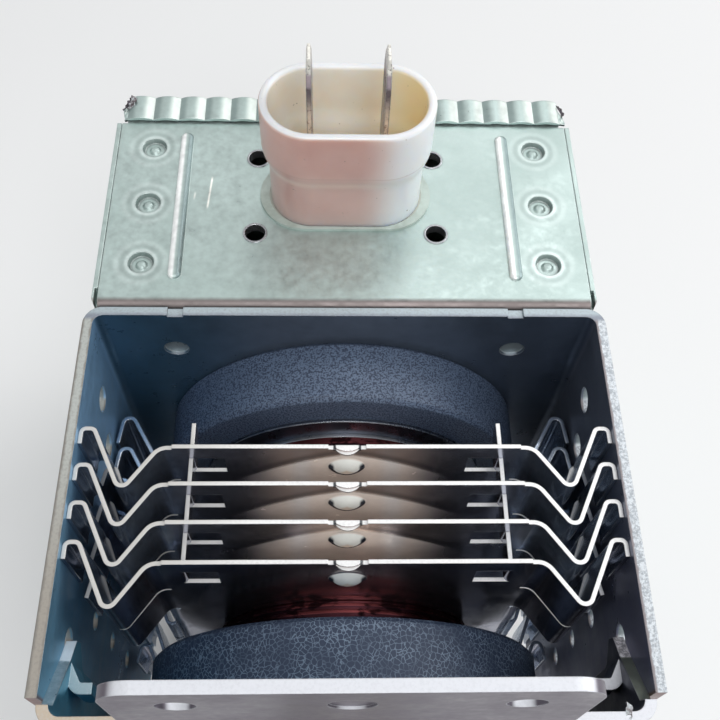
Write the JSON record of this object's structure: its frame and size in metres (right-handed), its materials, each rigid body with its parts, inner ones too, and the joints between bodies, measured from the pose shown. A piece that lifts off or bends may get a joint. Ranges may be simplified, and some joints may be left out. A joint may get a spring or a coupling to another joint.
{
  "type": "magnetron",
  "caption": "Microwave-oven magnetron: open folded yoke with ring magnets and zig-zag cooling fins round the tube, mounting plate with drilled ears, and a filter box with an oval connector.",
  "frame": {"origin": "on the tube axis, in the outer face of the mounting plate, at the centre of the four ear holes", "axes": "-Y out of the mounting plate towards the antenna, +Y along the tube to the filter box, +Z to the connector, +X to the right as seen from the antenna"},
  "size_m": [0.08, 0.1286, 0.1291],
  "materials": {
    "zinc_plated_steel": "dull zinc plating",
    "plate_steel": "zinc plating, satin",
    "fin_aluminium": "rolled, bright cut edges",
    "ferrite": "unglazed, dark slate",
    "copper": "turned, dull",
    "shim_metal": "satin",
    "seal_metal": "satin",
    "soft_iron": "matt",
    "heater_metal": "matt",
    "alumina": "unglazed",
    "wire": "enamelled",
    "braid": "woven",
    "capacitor_ceramic": "unglazed",
    "insulator": "matt",
    "resin": "matt",
    "connector_cup": "glazed",
    "blade_metal": "tinned"
  },
  "bodies": {
    "root": {"yoke_frame": "zinc_plated_steel", "mounting_plate": "plate_steel", "cooling_fin_1": "fin_aluminium", "cooling_fin_2": "fin_aluminium", "cooling_fin_3": "fin_aluminium", "cooling_fin_4": "fin_aluminium", "antenna_magnet": "ferrite", "cathode_magnet": "ferrite", "antenna_shim": "shim_metal", "cathode_shim": "shim_metal", "antenna_seal_cup": "seal_metal", "cathode_seal_cup": "seal_metal", "anode_block": "copper", "antenna_inner_strap": "copper", "antenna_outer_strap": "copper", "cathode_inner_strap": "copper", "cathode_outer_strap": "copper", "antenna_pole": "soft_iron", "cathode_pole": "soft_iron", "antenna_end_hat": "heater_metal", "cathode_end_hat": "heater_metal", "filament": "heater_metal", "centre_lead": "heater_metal", "side_lead": "heater_metal", "stem_ceramic": "alumina", "output_ceramic": "alumina", "stem_terminal_left": "blade_metal", "stem_terminal_right": "blade_metal", "ferrite_core_left": "ferrite", "ferrite_core_right": "ferrite", "choke_coil_left": "wire", "choke_coil_right": "wire", "exhaust_tube": "copper", "antenna_lead": "copper", "antenna_cap": "seal_metal", "gasket_holder": "seal_metal", "rf_gasket": "braid", "filter_box": "zinc_plated_steel", "filter_lid": "zinc_plated_steel", "ground_plate": "seal_metal", "capacitor_case": "insulator", "capacitor_block": "capacitor_ceramic", "potting_resin": "resin", "base_gasket": "insulator", "connector_shell": "connector_cup", "terminal_blade_left": "blade_metal", "terminal_blade_right": "blade_metal"}
  },
  "joints": []
}
